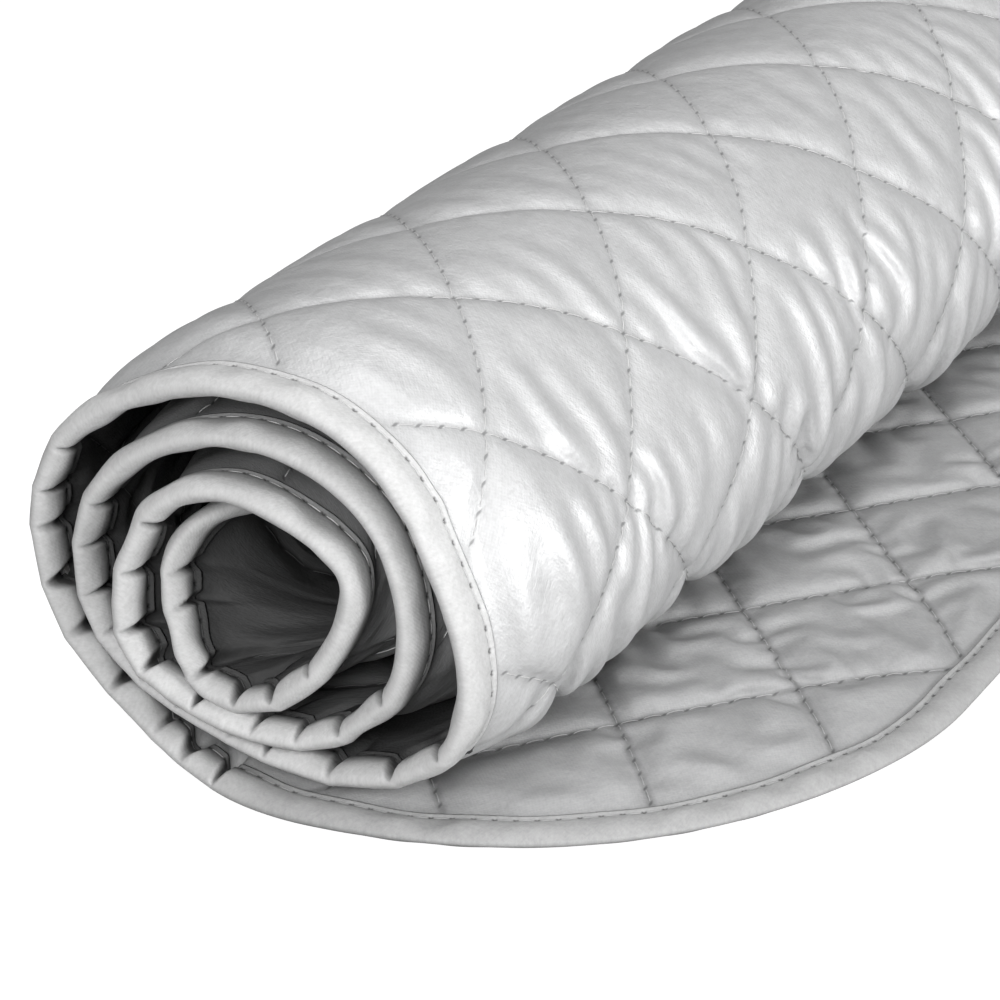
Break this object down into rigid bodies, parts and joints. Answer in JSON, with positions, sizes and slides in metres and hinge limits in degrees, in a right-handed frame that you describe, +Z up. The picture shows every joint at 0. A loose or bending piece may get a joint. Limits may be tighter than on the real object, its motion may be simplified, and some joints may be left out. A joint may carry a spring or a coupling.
{
  "type": "ironing pad",
  "caption": "Quilted silver ironing pad with rounded corners and a bound edge, wound into a loose roll with its free end lying flat, to spread on a table for ironing.",
  "frame": {"origin": "on the table under the roll, half way along it, where the flat free end leaves the roll", "axes": "+Z up; +Y along the roll; +X from the roll towards the free end"},
  "size_m": [0.1644, 0.4818, 0.0912],
  "materials": {
    "silver_cloth": "silver-coated woven cloth with a soft satin shine",
    "lining_cloth": "silver-grey woven cloth, more matt",
    "wadding": "soft white polyester wadding",
    "edge_tape": "light grey woven tape, matt",
    "thread": "grey sewing thread"
  },
  "bodies": {
    "roll": {"outer_cover_roll": "silver_cloth", "wadding_roll": "wadding", "inner_cover_roll": "lining_cloth", "edge_tape_roll": "edge_tape", "outer_seam_roll": "thread", "inner_seam_roll": "thread"},
    "end_1": {"outer_cover_end_1": "silver_cloth", "wadding_end_1": "wadding", "inner_cover_end_1": "lining_cloth", "edge_tape_end_1_near": "edge_tape", "outer_seam_end_1_near": "thread", "inner_seam_end_1_near": "thread", "edge_tape_end_1_far": "edge_tape", "outer_seam_end_1_far": "thread", "inner_seam_end_1_far": "thread"},
    "end_2": {"outer_cover_end_2": "silver_cloth", "wadding_end_2": "wadding", "inner_cover_end_2": "lining_cloth", "edge_tape_end_2_near": "edge_tape", "outer_seam_end_2_near": "thread", "inner_seam_end_2_near": "thread", "edge_tape_end_2_far": "edge_tape", "outer_seam_end_2_far": "thread", "inner_seam_end_2_far": "thread"},
    "end_3": {"outer_cover_end_3": "silver_cloth", "wadding_end_3": "wadding", "inner_cover_end_3": "lining_cloth", "edge_tape_end_3": "edge_tape", "outer_seam_end_3": "thread", "inner_seam_end_3": "thread"}
  },
  "joints": [
    {"name": "free_end_bend_1", "type": "hinge", "parent": "roll", "child": "end_1", "pos_m": [0.036, 0, 0.0074], "axis": [0, -1, 0], "range_deg": [0, 32]},
    {"name": "free_end_bend_2", "type": "hinge", "parent": "end_1", "child": "end_2", "pos_m": [0.059, 0, 0.0074], "axis": [0, -1, 0], "range_deg": [0, 32]},
    {"name": "free_end_bend_3", "type": "hinge", "parent": "end_2", "child": "end_3", "pos_m": [0.082, 0, 0.0074], "axis": [0, -1, 0], "range_deg": [0, 32]}
  ],
  "couplings": [
    {"joint": "free_end_bend_2", "follows": "free_end_bend_1", "ratio": 1},
    {"joint": "free_end_bend_3", "follows": "free_end_bend_1", "ratio": 1}
  ]
}
